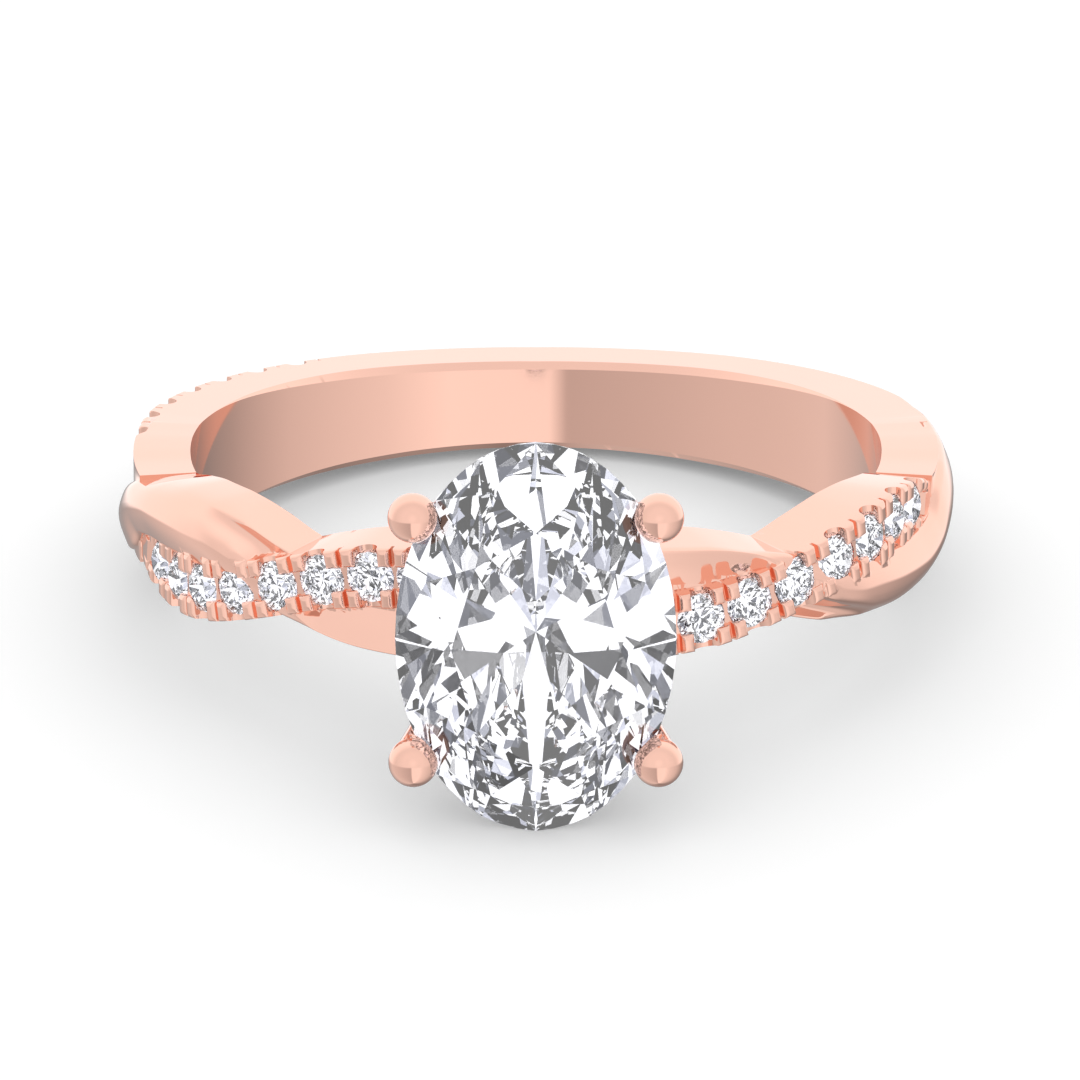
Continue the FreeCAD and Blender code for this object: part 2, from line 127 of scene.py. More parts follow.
# Plain strand on the left side: heights of its edges at the hole, then radius and height of the upper crest,
# the groove's bottom, the lower crest, the belly and the lower corner
PLAIN_COLUMNS = (
    "angle", "top", "bottom", "crest_r", "crest_z", "groove_r", "groove_z",
    "ridge_r", "ridge_z", "belly_r", "belly_z", "corner_r", "corner_z",
)
PLAIN_STRAND = [
    (0, 0.29, -1.57, 9.62, 0.10, 9.70, -0.64, 10.08, -1.34, 10.06, -1.36, 9.96, -1.40),
    (14, 0.31, -1.55, 9.62, 0.12, 9.70, -0.62, 10.08, -1.32, 10.06, -1.34, 9.96, -1.38),
    (24, 0.42, -1.44, 9.62, 0.23, 9.70, -0.51, 10.08, -1.21, 10.06, -1.23, 9.96, -1.27),
    (31.5, 0.65, -1.20, 9.64, 0.46, 9.66, -0.25, 10.10, -0.95, 10.08, -0.97, 9.98, -1.00),
    (38.5, 0.99, -0.87, 9.84, 0.85, 9.56, 0.40, 10.16, -0.08, 10.14, -0.40, 10.02, -0.72),
    (44.5, 1.32, -0.60, 9.78, 1.15, 9.55, 0.80, 10.24, 0.54, 10.24, 0.08, 10.04, -0.42),
    (50, 1.50, -0.42, 9.68, 1.36, 9.70, 1.06, 10.28, 0.84, 10.32, 0.40, 10.06, -0.22),
    (55, 1.565, -0.30, 9.58, 1.47, 9.84, 1.28, 10.18, 1.06, 10.34, 0.55, 10.06, -0.12),
    (61, 1.555, -0.20, 9.42, 1.50, 9.88, 1.35, 10.14, 1.12, 10.35, 0.62, 10.04, -0.06),
    (68, 1.42, -0.25, 9.32, 1.38, 9.90, 1.25, 10.16, 1.02, 10.35, 0.60, 10.02, -0.07),
    (75, 1.18, -0.42, 9.34, 1.15, 9.92, 1.03, 10.18, 0.80, 10.35, 0.36, 10.06, -0.22),
    (80, 1.02, -0.86, 9.38, 1.00, 9.92, 0.88, 10.18, 0.64, 10.35, 0.02, 10.04, -0.80),
    (86, 0.66, -1.09, 9.46, 0.64, 9.93, 0.53, 10.16, 0.30, 10.34, -0.30, 10.02, -1.09),
    (92, 0.22, -1.09, 9.66, 0.19, 9.94, 0.10, 10.14, -0.08, 10.30, -0.55, 10.00, -1.09),
    (98, -0.15, -1.09, 9.70, -0.17, 9.96, -0.22, 10.14, -0.34, 10.24, -0.68, 10.00, -1.09),
    (106, -0.33, -1.15, 9.80, -0.34, 10.00, -0.38, 10.16, -0.48, 10.19, -0.80, 10.02, -1.15),
    (118, -0.37, -1.15, 9.90, -0.38, 10.08, -0.42, 10.17, -0.52, 10.18, -0.92, 10.04, -1.15),
    (180, -0.37, -1.15, 9.90, -0.38, 10.08, -0.42, 10.17, -0.52, 10.18, -0.92, 10.04, -1.15),
]

# How far each corner of the plain strand's outline is rounded, near the head and on the bulge
PLAIN_ROUNDS = {
    "crest": (0.07, 2.0),
    "groove": (2.0, 2.0),
    "ridge": (0.10, 2.0),
    "belly": (0.10, 2.0),
    "corner": (0.10, 0.16),
}
GROOVE_END = (44.0, 58.0)

# Half width of the band on the left side, widest beside the second crossing and narrowest at the back
BAND_COLUMNS = ("angle", "half_width")
BAND = [
    (78, 1.10),
    (84, 1.15),
    (90, 1.25),
    (96, 1.32),
    (105, 1.35),
    (118, 1.35),
    (130, 1.32),
    (140, 1.28),
    (150, 1.235),
    (160, 1.18),
    (170, 1.14),
    (180, 1.12),
]
BACK_HALF_WIDTH = BAND[-1][1]

# Inner layer of the band: the angles over which it drops to leave room beside the row, and its radius there
CORE_CUT = (95.0, 97.5)
CORE_CUT_RADIUS = 9.7

# Trim of the band's upper and lower faces: how much comes off, over which angles it starts, how clear
# the inner bevel's cutter starts, how far the cutters reach past the metal and how steep the outer edge ends
TRIM = 0.02
TRIM_START = (97.0, 107.0)
CLEAR = 0.01
PAST_METAL = 0.4
EDGE_END = math.radians(60)

# A corner lies on a true form when it is this near it and its face looks the same way to this cosine
NEAR = 0.004
SAME_WAY = 0.97

# Camera: its elevation over the ring's plane, its distance and the ring's size and place in the 1080 picture
CAMERA_OVER_RING = 15.8
CAMERA_DISTANCE = 0.300
PICTURE_SIZE = 1080
PIXELS_PER_MM = 40.6
RING_PIXEL = (536.0, 496.2)

# Panel in front of the ring that the metal mirrors: its direction, and its tones from its middle outwards
PANEL_DIRECTION = (0.0, -0.94, 0.34)
PANEL_TONES = (
    (0.0, 1.12),
    (0.22, 1.02),
    (0.38, 1.02),
    (0.60, 0.95),
    (1.0, 0.80),
)

# Tones that the metal mirrors from below, on a scale that runs once round the ring from its left side:
# it is in front at 0.25, on the right side at 0.5 and behind at 0.75
LOW_TONES = (
    (0.0, 0.80),
    (0.06, 0.76),
    (0.17, 0.65),
    (0.222, 0.60),
    (0.238, 1.12),
    (0.33, 1.14),
    (0.39, 0.94),
    (0.50, 0.74),
    (0.59, 0.46),
    (0.66, 0.30),
    (0.80, 0.40),
    (0.88, 0.66),
    (0.94, 0.84),
    (1.0, 0.80),
)

# Where the tones change: from the panel to the backdrop by how far behind they lie, and from the low tones
# to the high ones by how far over the ring's plane they lie
BACKDROP_FADE = (-0.1, 0.55)
LOW_FADE = (-0.25, -0.12)

# Tones round the stones: where each starts on a scale from 0 to 1, and its colour
CARD_TONES = (
    (0.0, (0.005, 0.005, 0.01)),
    (0.17, (0.03, 0.035, 0.06)),
    (0.27, (0.13, 0.14, 0.19)),
    (0.37, (0.46, 0.48, 0.58)),
    (0.45, (0.76, 0.78, 0.93)),
    (0.53, (1.4, 1.4, 1.45)),
)
CARD_SCALE = 2.4

# The tent's white is a little over the floor's, so that the floor comes out white
TENT_GAIN = 1.08


def read_table(rows, columns, name, angle):
    """Value of one column at an angle, on a smooth curve that keeps within its rows."""
    at = columns.index(name)
    last = len(rows) - 2
    low = 0
    while low < last and rows[low + 1][0] < angle:
        low += 1
    x0, x1 = rows[low][0], rows[low + 1][0]
    y0, y1 = rows[low][at], rows[low + 1][at]
    step = (y1 - y0) / (x1 - x0)
    before = (y0 - rows[low - 1][at]) / (x0 - rows[low - 1][0]) if low else step
    after = (rows[low + 2][at] - y1) / (rows[low + 2][0] - x1) if low < last else step
    slope0 = level_or_mean(before, step)
    slope1 = level_or_mean(step, after)
    t = (angle - x0) / (x1 - x0)
    width = x1 - x0
    start = (2 * t ** 3 - 3 * t ** 2 + 1) * y0 + (t ** 3 - 2 * t ** 2 + t) * width * slope0
    end = (3 * t ** 2 - 2 * t ** 3) * y1 + (t ** 3 - t ** 2) * width * slope1
    return start + end


def level_or_mean(one, other):
    """Slope at a row: level at a peak, and the harmonic mean elsewhere."""
    return 2 * one * other / (one + other) if one * other > 0 else 0.0


def band_half_width(angle):
    """Half width of the band at an angle of either side."""
    return read_table(BAND, BAND_COLUMNS, "half_width", min(angle, 360 - angle))


def spread(angle):
    """How much further from the middle the strands lie than they would on a band as narrow as at the back."""
    return max(band_half_width(angle) - BACK_HALF_WIDTH, 0.0) if angle > CORE_START else 0.0


def set_value(name, angle):
    shift = spread(angle) if name == "middle" else 0.0
    return read_table(SET_STRAND, SET_COLUMNS, name, angle) + shift


def plain_value(name, angle):
    """Value of the plain strand, whose upper and lower lines part where the band is wide."""
    value = read_table(PLAIN_STRAND, PLAIN_COLUMNS, name, angle)
    if name in ("top", "crest_z", "groove_z", "ridge_z"):
        return value + spread(angle)
    return value - spread(angle) if name in ("bottom", "corner_z") else value


def on_shank(angle, radius, height):
    """Point of the left side from its angle, radius and height."""
    turn = math.radians(angle)
    return Vector((-radius * math.sin(turn), -radius * math.cos(turn), height))


def blend(low, high, value):
    """Smooth step from 0 to 1 between two values."""
    t = min(max((value - low) / (high - low), 0.0), 1.0)
    return t * t * (3 - 2 * t)


def rounded(points, cuts, steps):
    """Outline whose inner corners are rounded, each by a curve that starts a given cut before it."""
    outline = [points[0]]
    for before, here, after, cut in zip(points, points[1:], points[2:], cuts):
        into, out = here - before, after - here
        first = here - into.normalized() * min(cut, into.length * 0.48)
        last = here + out.normalized() * min(cut, out.length * 0.48)
        for index in range(steps + 1):
            t = index / steps
            outline.append(first * (1 - t) ** 2 + here * 2 * t * (1 - t) + last * t ** 2)
    outline.append(points[-1])
    return outline


def shell_mesh(name, rings, closed=False):
    """Closed solid through rings of points, capped at both ends unless it closes on itself."""
    count = len(rings[0])
    points = [point for ring in rings for point in ring]
    spans = len(rings) if closed else len(rings) - 1
    faces = []
    for index in range(spans):
        here, after = index * count, (index + 1) % len(rings) * count
        for side in range(count):
            beside = (side + 1) % count
            faces.append((here + side, here + beside, after + beside, after + side))
    if not closed:
        faces.append(tuple(reversed(range(count))))
        faces.append(tuple(range((len(rings) - 1) * count, len(rings) * count)))
    mesh = bpy.data.meshes.new(name)
    mesh.from_pydata(points, [], faces)
    piece = bpy.data.objects.new(name, mesh)
    bpy.context.collection.objects.link(piece)
    turn_outward(mesh)
    return piece


def turn_outward(mesh):
    """Makes the normals of a closed mesh point out."""
    mesh.calc_loop_triangles()
    volume = 0.0
    for triangle in mesh.loop_triangles:
        a, b, c = (mesh.vertices[index].co for index in triangle.vertices)
        volume += a.dot(b.cross(c))
    if volume < 0:
        mesh.flip_normals()


def half_turned(piece):
    """Copy of a piece on the other side of the ring."""
    copy = piece.copy()
    copy.data = piece.data.copy()
    copy.data.transform(Matrix.Rotation(math.pi, 4, "Y"))
    bpy.context.collection.objects.link(copy)
    return copy


def combine(base, others, operation):
    """Joins pieces to a base or cuts them from it, one at a time, and removes them."""
    for other in others:
        modifier = base.modifiers.new("combine", "BOOLEAN")
        modifier.operation = operation
        modifier.solver = "MANIFOLD"
        modifier.object = other
        applied(base)
        bpy.data.objects.remove(other)
    return base


def girdle_radius(angle):
    """Radius at which a row stone's girdle lies."""
    return set_value("face", angle) - TABLE_BELOW_GRAIN - ROW_CROWN - ROW_GIRDLE / 2


def strand_slope(angle):
    """Angle at which the set strand climbs along the shank."""
    step = 0.5
    rise = set_value("middle", angle + step) - set_value("middle", angle - step)
    return math.atan2(rise, math.radians(2 * step) * girdle_radius(angle))


def path_lengths():
    """Angles along the set strand at short steps and the length of the path up to each."""
    step = 0.1
    table = [(0.0, 0.0)]
    for index in range(1, int(180 / step) + 1):
        angle = index * step
        middle = angle - step / 2
        length = math.radians(step) * girdle_radius(middle) / math.cos(strand_slope(middle))
        table.append((angle, table[-1][1] + length))
    return table


def looked_up(table, value, key, wanted):
    """Linear look-up in a rising table."""
    low, high = 0, len(table) - 1
    while high - low > 1:
        middle = (low + high) // 2
        if table[middle][key] <= value:
            low = middle
        else:
            high = middle
    share = (value - table[low][key]) / (table[high][key] - table[low][key])
    return table[low][wanted] + share * (table[high][wanted] - table[low][wanted])


def row_lines(table):
    """Stations along the set strand: path length, distance to the nearest stone and to the nearest groove."""
    near_stone = (0.0, 0.07, 0.13, 0.18, 0.22, 0.25, 0.27, 0.279, 0.286, 0.30, 0.325, 0.355, 0.385, 0.41)
    near_groove = (0.0, 0.020, 0.034, 0.039, 0.045, 0.058, 0.08, 0.11, 0.14, 0.17)
    stations = []
    for angles in (ROW_FRONT, ROW_BACK):
        places = [looked_up(table, angle, 0, 1) for angle in angles]
        grooves = [(one + two) / 2 for one, two in zip(places, places[1:])]
        grooves = [places[0] * 2 - grooves[0]] + grooves + [places[-1] * 2 - grooves[-1]]
        for index, place in enumerate(places):
            before, after = grooves[index], grooves[index + 1]
            for side, groove in ((-1, before), (1, after)):
                reach = abs(groove - place)
                gaps = [(gap, reach - gap) for gap in near_stone]
                middle = (near_stone[-1] + reach - near_groove[-1]) / 2
                gaps.append((middle, reach - middle))
                gaps += [(reach - gap, gap) for gap in near_groove if reach - gap > middle]
                stations += [(place + side * gap, gap, to_groove) for gap, to_groove in gaps]
        for end, sign in ((grooves[0], -1), (grooves[-1], 1)):
            stations += [(end + sign * gap, 9.0, gap) for gap in near_groove if gap]
    return stations


def set_stations():
    """All stations of the set strand in order, with plain ones where there is no row."""
    table = path_lengths()
    stations = row_lines(table)
    row = sorted(station[0] for station in stations)
    start, end = looked_up(table, STRAND_START, 0, 1), looked_up(table, FULL_BAND_START + 1, 0, 1)
    step = 0.1
    for index in range(int((end - start) / step) + 1):
        place = start + (end - start) * index / int((end - start) / step)
        if all(abs(place - other) > step * 0.9 for other in row):
            stations.append((place, 9.0, 9.0))
    stations.sort()
    kept = [stations[0]]
    for station in stations[1:]:
        if station[0] - kept[-1][0] > 0.002:
            kept.append(station)
    return [(looked_up(table, place, 1, 0), stone, groove) for place, stone, groove in kept]


def face_height(angle, stone, groove, across, half):
    """Radius of the set strand's face at a place across it."""
    face = set_value("face", angle)
    girdle = girdle_radius(angle)
    height = face
    reach = abs(across)
    from_edge = reach - (half - CREST_ROUND)
    if from_edge > 0:
        height = face - CREST_ROUND + math.sqrt(max(CREST_ROUND ** 2 - from_edge ** 2, 0.0))
    if groove < 8:
        to_wall = min(groove - GROOVE_HALF, stone - NOTCH_RADIUS, reach - CHANNEL_HALF)
        if 0 < to_wall < GRAIN_ROUND:
            drop = GRAIN_ROUND - math.sqrt(GRAIN_ROUND ** 2 - (GRAIN_ROUND - to_wall) ** 2)
            height = min(height, face - drop)
        top = girdle + ROW_GIRDLE / 2 + ROW_CROWN
        if groove <= GROOVE_HALF and reach > CHANNEL_HALF:
            height = min(height, top - GROOVE_DEPTH + 0.03 * (groove / GROOVE_HALF) ** 2)
        if reach <= CHANNEL_HALF and stone < 8:
            height = min(height, top - WALL_BELOW_TABLE)
        if stone <= NOTCH_RADIUS:
            bottom = girdle - NOTCH_BELOW_GIRDLE
            height = min(height, bottom + NOTCH_RADIUS - math.sqrt(max(NOTCH_RADIUS ** 2 - stone ** 2, 0.0)))
    return height


def across_lines(half):
    """Places across the set strand's face, closer where its form turns."""
    edge = [half - CREST_ROUND * (1 - math.sin(math.radians(turn))) for turn in (0, 18, 36, 54, 72, 90)]
    start, end = CHANNEL_HALF + 0.15, half - CREST_ROUND - 0.02
    middle = [start + (end - start) * share for share in (0.0, 0.33, 0.67, 1.0)]
    near_channel = [CHANNEL_HALF + gap for gap in (-0.003, 0.003, 0.012, 0.03, 0.055, 0.09, 0.12)]
    positive = [0.07, 0.14, 0.21, 0.25] + near_channel + middle + edge
    return [-place for place in reversed(positive)] + [0.0] + positive


def set_ring(station):
    """Outline of the set strand at one station, perpendicular to its path."""
    angle, stone, groove = station
    slope = strand_slope(angle)
    inner = set_value("inner_half", angle) * math.cos(slope)
    outer = set_value("outer_half", angle) * math.cos(slope)
    middle = set_value("middle", angle)
    shoulder = set_value("face", angle) - CREST_ROUND

    def flank_half(radius):
        return inner + (outer - inner) * (radius - ROOT_RADIUS) / (shoulder - ROOT_RADIUS)

    places = [(face_height(angle, stone, groove, across, outer), across) for across in across_lines(outer)]
    edge = places[-1][0]
    places[0], places[-1] = (edge, -flank_half(edge)), (edge, flank_half(edge))
    radii = [ROOT_RADIUS + (edge - ROOT_RADIUS) * share for share in (0.0, 0.3, 0.6, 0.85)]
    outline = [(radius, -flank_half(radius)) for radius in radii] + places
    outline += [(radius, flank_half(radius)) for radius in reversed(radii)]
    ring = []
    for radius, across in outline:
        shift = math.degrees(across * math.sin(slope) / 10.0)
        ring.append(on_shank(angle - shift, radius, middle + across * math.cos(slope)))
    return ring


def set_strand():
    """Set strand of the left side, with its notches, channel, grooves and grains."""
    return shell_mesh("set_strand", [set_ring(station) for station in set_stations()])


def plain_ring(angle):
    """Outline of the plain strand at one angle."""
    share = blend(GROOVE_END[0], GROOVE_END[1], angle)
    names = ("crest", "groove", "ridge", "belly", "corner")
    top, bottom = plain_value("top", angle), plain_value("bottom", angle)
    points = [Vector((ROOT_RADIUS, top, 0))]
    cuts = []
    for name in names:
        points.append(Vector((plain_value(name + "_r", angle), plain_value(name + "_z", angle), 0)))
        near, far = PLAIN_ROUNDS[name]
        cuts.append(near + (far - near) * share)
    points.append(Vector((ROOT_RADIUS, bottom, 0)))
    outline = rounded(points, cuts, ARC_STEPS)
    return [on_shank(angle, point.x, point.y) for point in outline]


def plain_strand():
    """Plain strand of the left side, grooved near the head and bulging at the side."""
    end = FULL_BAND_START + 1
    count = math.ceil((end - STRAND_START) / STRAND_STEP)
    angles = [STRAND_START + (end - STRAND_START) * index / count for index in range(count + 1)]
    return shell_mesh("plain_strand", [plain_ring(angle) for angle in angles])


def swept(name, outline_at, start, end):
    """Solid that an outline of radii and heights, given for each angle, sweeps about the ring's axis."""
    count = math.ceil((end - start) / STRAND_STEP)
    angles = [start + (end - start) * index / count for index in range(count + 1)]
    return shell_mesh(name, [[on_shank(angle, *point) for point in outline_at(angle)] for angle in angles])


def box_outline(low, high, radius, low_round=0.001, high_round=0.001):
    """Section of the band between two heights, with its outer edges rounded by given amounts."""
    points = [Vector((ROOT_RADIUS, low, 0)), Vector((radius, low, 0)), Vector((radius, high, 0)),
              Vector((ROOT_RADIUS, high, 0))]
    return [(point.x, point.y) for point in rounded(points, (low_round, high_round), ARC_STEPS)]


def untrimmed(angle):
    """Half width of the band before its upper and lower faces are trimmed."""
    return band_half_width(angle) + TRIM * blend(*TRIM_START, min(angle, 360 - angle))


def core_outline(angle):
    """Section of the inner layer, which leaves room beside the row at the back."""
    width = untrimmed(angle)
    share = blend(*CORE_CUT, min(angle, 360 - angle))
    return box_outline(-width, width, CORE_RADIUS + (CORE_CUT_RADIUS - CORE_RADIUS) * share)


def back_outline(angle):
    """Section of the full band at the back."""
    width = untrimmed(angle)
    return box_outline(-width, width, BAND_RADIUS)


def lower_outline(angle):
    """Section of the band below the row, which swells from the inner layer."""
    top = set_value("middle", angle) - set_value("outer_half", angle) + LOWER_OVERLAP
    share = blend(*LOWER_SWELL, angle)
    return box_outline(-untrimmed(angle), top, CORE_RADIUS + (BAND_RADIUS - CORE_RADIUS) * share)


def band():
    """Inner layer, lower part of the band beside each row, and the full band at the back."""
    core = swept("core", core_outline, CORE_START, 360 - CORE_START)
    back = swept("back", back_outline, FULL_BAND_START, 360 - FULL_BAND_START)
    lower = swept("lower_band", lower_outline, LOWER_SWELL[0], FULL_BAND_START + 1)
    return [core, back, lower, half_turned(lower)]


def saddle_outline(angle):
    return box_outline(-SADDLE_HALF_WIDTH, SADDLE_HALF_WIDTH, SADDLE_RADIUS)


def trim_outline(angle):
    """Section of the cutter that trims the band's upper face and edges and rises clear towards the sides."""
    side = min(angle, 360 - angle)
    width = band_half_width(angle) + TRIM * (1 - blend(*TRIM_START, side))
    bevel = (INNER_BEVEL + CLEAR) * blend(*BEVEL_FADE, side) - CLEAR
    edge = EDGE_BEVEL * blend(*TRIM_START, side)
    points = [(HOLE_RADIUS - PAST_METAL, width - bevel - PAST_METAL), (HOLE_RADIUS + bevel, width)]
    points.append((BAND_RADIUS - edge, width))
    for index in range(1, ARC_STEPS + 1):
        turn = EDGE_END * index / ARC_STEPS
        points.append((BAND_RADIUS - edge + edge * math.sin(turn), width - edge + edge * math.cos(turn)))
    radius, height = points[-1]
    points.append((radius + PAST_METAL, height - PAST_METAL * math.tan(EDGE_END)))
    points.append((radius + PAST_METAL, width + PAST_METAL))
    points.append((HOLE_RADIUS - PAST_METAL, width + PAST_METAL))
    return points


def tube(name, start, end, radius, sides):
    """Closed cylinder between two points."""
    axis = (end - start).normalized()
    one = axis.orthogonal().normalized()
    two = axis.cross(one)
    rings = []
    for centre in (start, end):
        ring = []
        for index in range(sides):
            turn = 2 * math.pi * index / sides
            ring.append(centre + (one * math.cos(turn) + two * math.sin(turn)) * radius)
        rings.append(ring)
    return shell_mesh(name, rings)


def ball(name, centre, radius):
    """Round ball made of even quads."""
    bpy.ops.mesh.primitive_uv_sphere_add(segments=64, ring_count=32, radius=radius, location=(0, 0, 0))
    piece = bpy.context.object
    piece.name = name
    piece.data.transform(Matrix.Translation(centre))
    return piece


def prongs(sizes):
    """Four prongs and their ball tips."""
    pieces = []
    for side in (-1, 1):
        for end in (-1, 1):
            tip = Vector((side * BALL_CENTRE[0], BALL_CENTRE[1], end * BALL_CENTRE[2]))
            foot = Vector((side * PRONG_FOOT[0], PRONG_FOOT[1], end * PRONG_FOOT[2]))
            pieces.append(ball("ball", tip, sizes.ball_radius / MM))
            pieces.append(tube("prong", foot, tip, sizes.prong_radius / MM, 48))
    return pieces


def seat_cutters():
    """Cutters a little larger than the stones, taken from the frame."""
    to_ring = RING_TO_WORLD.inverted()
    cutters = []
    for name, node in frame["nodes"].items():
        if not name.startswith("row_stone") and name != "center_stone":
            continue
        mesh = node.data.copy()
        mesh.transform(to_ring)
        points = [vertex.co.copy() for vertex in mesh.vertices]
        middle = sum(points, Vector()) / len(points)
        scale = Matrix.Translation(middle) @ Matrix.Scale(SEAT_SCALE, 4) @ Matrix.Translation(-middle)
        mesh.transform(scale)
        cutter = bpy.data.objects.new("seat", mesh)
        bpy.context.collection.objects.link(cutter)
        weld(cutter)
        cutters.append(cutter)
    return cutters


def applied(piece):
    """Puts the result of a piece's modifier in its mesh."""
    depsgraph = bpy.context.evaluated_depsgraph_get()
    mesh = bpy.data.meshes.new_from_object(piece.evaluated_get(depsgraph))
    piece.modifiers.clear()
    old = piece.data
    piece.data = mesh
    bpy.data.meshes.remove(old)


def weld(piece):
    """Joins corners that lie on the same point."""
    modifier = piece.modifiers.new("weld", "WELD")
    modifier.merge_threshold = 0.0002
    applied(piece)


def shaded(piece, sharp_angle):
    """Smooth shading with crisp edges where faces meet at more than an angle."""
    mesh = piece.data
    for polygon in mesh.polygons:
        polygon.use_smooth = True
    mesh.set_sharp_from_angle(angle=sharp_angle)
    modifier = piece.modifiers.new("normals", "WEIGHTED_NORMAL")
    modifier.keep_sharp = True
    applied(piece)


def true_normals(mesh):
    """Gives the finger hole's wall and the band's flat faces the normals of their true forms."""
    to_ring = RING_TO_WORLD.inverted()
    turn = RING_TO_WORLD.to_3x3().normalized()
    normals = [corner.vector.copy() for corner in mesh.corner_normals]
    for polygon in mesh.polygons:
        facing = turn.transposed() @ polygon.normal
        for loop in polygon.loop_indices:
            place = to_ring @ mesh.vertices[mesh.loops[loop].vertex_index].co
            inward = -Vector((place.x, place.y, 0)).normalized()
            side = abs(math.degrees(math.atan2(-place.x, -place.y)))
            on_hole = abs(place.xy.length - HOLE_RADIUS) < NEAR
            on_face = side > TRIM_START[1] and abs(abs(place.z) - band_half_width(side)) < NEAR
            if on_hole and facing.dot(inward) > SAME_WAY:
                normals[loop] = turn @ inward
            elif on_face and abs(facing.z) > SAME_WAY:
                normals[loop] = turn @ Vector((0, 0, math.copysign(1, facing.z)))
    mesh.normals_split_custom_set(normals)


def node_material(name):
    """New node material and its shader."""
    material = bpy.data.materials.new(name)
    material.use_nodes = True
    return material, material.node_tree, material.node_tree.nodes["Principled BSDF"]


def rose_gold(finish):
    """High polish rose gold, with a faint drift of tone and the finest polishing marks in its gloss."""
    material, tree, shader = node_material("rose_gold_polish")
    shader.inputs["Metallic"].default_value = 1.0
    place = tree.nodes.new("ShaderNodeTexCoord")
    drift = tree.nodes.new("ShaderNodeTexNoise")
    drift.inputs["Scale"].default_value = 260.0
    drift.inputs["Detail"].default_value = 2.0
    tree.links.new(place.outputs["Object"], drift.inputs["Vector"])
    tone = tree.nodes.new("ShaderNodeValToRGB")
    tone.color_ramp.elements[0].position = 0.35
    tone.color_ramp.elements[1].position = 0.65
    tone.color_ramp.elements[0].color = (*[channel * 0.985 for channel in finish.gold_colour], 1)
    tone.color_ramp.elements[1].color = (*finish.gold_colour, 1)
    tree.links.new(drift.outputs["Fac"], tone.inputs["Fac"])
    tree.links.new(tone.outputs["Color"], shader.inputs["Base Color"])
    marks = tree.nodes.new("ShaderNodeTexNoise")
    marks.inputs["Scale"].default_value = 2600.0
    marks.inputs["Detail"].default_value = 4.0
    tree.links.new(place.outputs["Object"], marks.inputs["Vector"])
    gloss = tree.nodes.new("ShaderNodeMapRange")
    gloss.inputs["To Min"].default_value = finish.gold_roughness * 0.8
    gloss.inputs["To Max"].default_value = finish.gold_roughness * 1.3
    tree.links.new(marks.outputs["Fac"], gloss.inputs["Value"])
    tree.links.new(gloss.outputs["Result"], shader.inputs["Roughness"])
    return material


def clear_stone(name, tint, roughness):
    """Clear stone with a high index and a trace of colour that drifts through it."""
    material, tree, shader = node_material(name)
    shader.inputs["Transmission Weight"].default_value = 1.0
    shader.inputs["IOR"].default_value = 2.42
    shader.inputs["Roughness"].default_value = roughness
    place = tree.nodes.new("ShaderNodeTexCoord")
    drift = tree.nodes.new("ShaderNodeTexNoise")
    drift.inputs["Scale"].default_value = 900.0
    tree.links.new(place.outputs["Object"], drift.inputs["Vector"])
    tone = tree.nodes.new("ShaderNodeValToRGB")
    tone.color_ramp.elements[0].color = (*tint, 1)
    tone.color_ramp.elements[1].color = (1, 1, 1, 1)
    tree.links.new(drift.outputs["Fac"], tone.inputs["Fac"])
    tree.links.new(tone.outputs["Color"], shader.inputs["Base Color"])
    return material


class RingSizes(bpy.types.PropertyGroup):
    """Sizes that a user would change."""

    ball_radius: FloatProperty(name="Ball radius", description="Radius of a prong's ball tip",
                               default=0.59 * MM, unit="LENGTH")
    prong_radius: FloatProperty(name="Prong radius", description="Radius of a prong below its ball",
                                default=0.54 * MM, unit="LENGTH")
    sharp_angle: FloatProperty(name="Crisp edge", description="Faces that meet at more than this stay crisp",
                               default=math.radians(30), subtype="ANGLE")


class RingFinish(bpy.types.PropertyGroup):
    """Colours and gloss that a user would change."""

    gold_colour: FloatVectorProperty(name="Rose gold", description="Colour of the polished metal",
                                     default=(0.93, 0.565, 0.455), size=3, subtype="COLOR", min=0, max=1)
    gold_roughness: FloatProperty(name="Gold roughness", description="How soft the metal's reflections are",
                                  default=0.06, min=0, max=1, subtype="FACTOR")
    stone_tint: FloatVectorProperty(name="Stone tint", description="Faint tint of the clear stones",
                                    default=(0.985, 0.987, 1.0), size=3, subtype="COLOR", min=0, max=1)
    tent_light: FloatProperty(name="Tent light", description="Brightness of the white tent round the ring",
                              default=1.0, min=0, soft_max=4)
    backdrop_light: FloatProperty(name="Backdrop light", description="Brightness of the tent behind the ring",
                                  default=1.22, min=0, soft_max=4)
    floor_colour: FloatVectorProperty(name="Floor", description="Colour of the plain floor",
                                      default=(0.80, 0.80, 0.80), size=3, subtype="COLOR", min=0, max=1)
    floor_glow: FloatProperty(name="Floor glow", description="Light of its own that keeps shadows soft",
                              default=0.23, min=0, soft_max=1)


